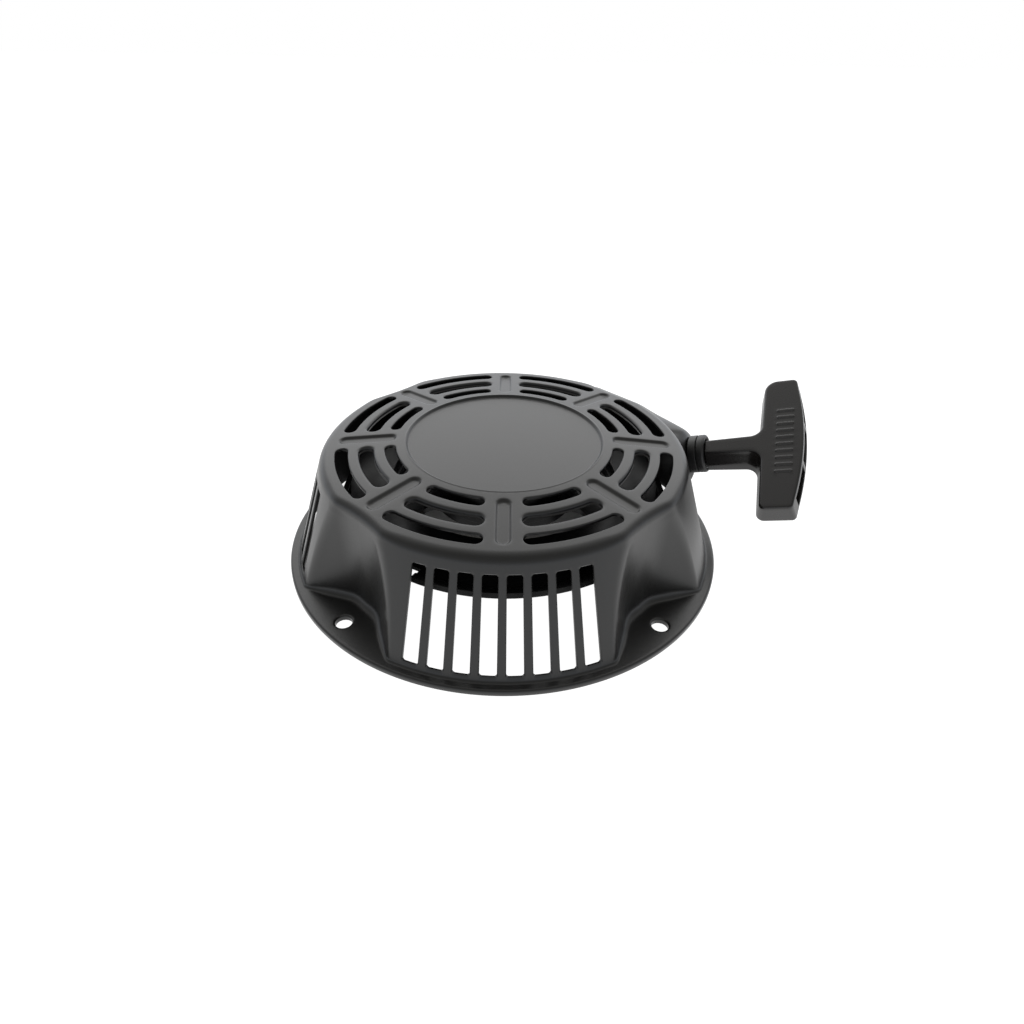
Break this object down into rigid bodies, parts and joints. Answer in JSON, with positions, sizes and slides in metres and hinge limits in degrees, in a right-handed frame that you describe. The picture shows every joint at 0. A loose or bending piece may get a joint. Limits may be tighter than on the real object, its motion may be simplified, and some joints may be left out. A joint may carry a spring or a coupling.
{
  "type": "recoil starter",
  "caption": "Pull-rope recoil starter for a small engine: vented pressed-steel bell with flange, rope reel, ratchets, spring and T-shaped pull handle.",
  "frame": {"origin": "on the reel axis, in the plane of the flange lip's lower edge", "axes": "+Z along the reel axis, away from the engine; -Y towards the plain front air window; the rope leaves on the +X side"},
  "size_m": [0.2835, 0.232, 0.0774],
  "materials": {
    "housing_paint": "satin black powder coat on pressed steel",
    "zinc_steel": "zinc plated, satin",
    "spring_steel": "blued spring steel",
    "ratchet_steel": "hardened, lightly oiled",
    "guide_plate": "yellow zinc plate",
    "bush_plastic": "semi-matte moulded nylon",
    "acetal": "smooth natural acetal",
    "reel_plastic": "semi-gloss moulded nylon",
    "rope": "braided polyester cord",
    "grip_plastic": "semi-gloss moulded polypropylene"
  },
  "bodies": {
    "case": {"housing": "housing_paint", "centre_post": "zinc_steel", "rope_guide_bush": "bush_plastic", "rope_guide_clip": "spring_steel", "rope_lead": "rope", "setting_screw": "zinc_steel", "guide_thrust_washer": "zinc_steel", "reel_retaining_washer": "zinc_steel", "reel_thrust_washer": "acetal"},
    "reel_body": {"reel": "reel_plastic", "recoil_spring": "spring_steel", "rope_coil": "rope", "rope_reel_knot": "rope", "ratchet_pins": "zinc_steel", "ratchet_return_springs": "spring_steel"},
    "ratchet_a": {"ratchet_1": "ratchet_steel"},
    "ratchet_b": {"ratchet_2": "ratchet_steel"},
    "guide": {"ratchet_guide": "guide_plate", "friction_spring": "spring_steel"},
    "rope_pull": {"rope_end": "rope", "rope_handle_knot": "rope", "rope_stop_washer": "zinc_steel"},
    "grip": {"handle_grip": "grip_plastic"}
  },
  "joints": [
    {"name": "reel_spin", "type": "hinge", "parent": "case", "child": "reel_body", "pos_m": [0, 0, 0.035], "axis": [0, 0, 1], "range_deg": [-720, 0], "deforming": ["recoil_spring"]},
    {"name": "handle_pull", "type": "slide", "parent": "case", "child": "rope_pull", "axis": [0.8694, -0.3816, 0.314], "range_m": [0, 0.86]},
    {"name": "handle_twist", "type": "hinge", "parent": "rope_pull", "child": "grip", "pos_m": [0.1146, 0.0266, 0.0385], "axis": [0.8694, -0.3816, 0.314], "range_deg": [-180, 180]},
    {"name": "guide_lag", "type": "hinge", "parent": "reel_body", "child": "guide", "pos_m": [0, 0, 0.02], "axis": [0, 0, 1], "range_deg": [0, 28]},
    {"name": "ratchet_a_swing", "type": "hinge", "parent": "reel_body", "child": "ratchet_a", "pos_m": [0.023, 0, 0.026], "axis": [0, 0, 1], "range_deg": [0, 28]},
    {"name": "ratchet_b_swing", "type": "hinge", "parent": "reel_body", "child": "ratchet_b", "pos_m": [-0.023, 0, 0.026], "axis": [0, 0, 1], "range_deg": [0, 28]}
  ],
  "couplings": [
    {"joint": "handle_pull", "follows": "reel_spin", "m_per_rad": -0.068},
    {"joint": "ratchet_a_swing", "follows": "guide_lag", "ratio": 1},
    {"joint": "ratchet_b_swing", "follows": "guide_lag", "ratio": 1}
  ]
}
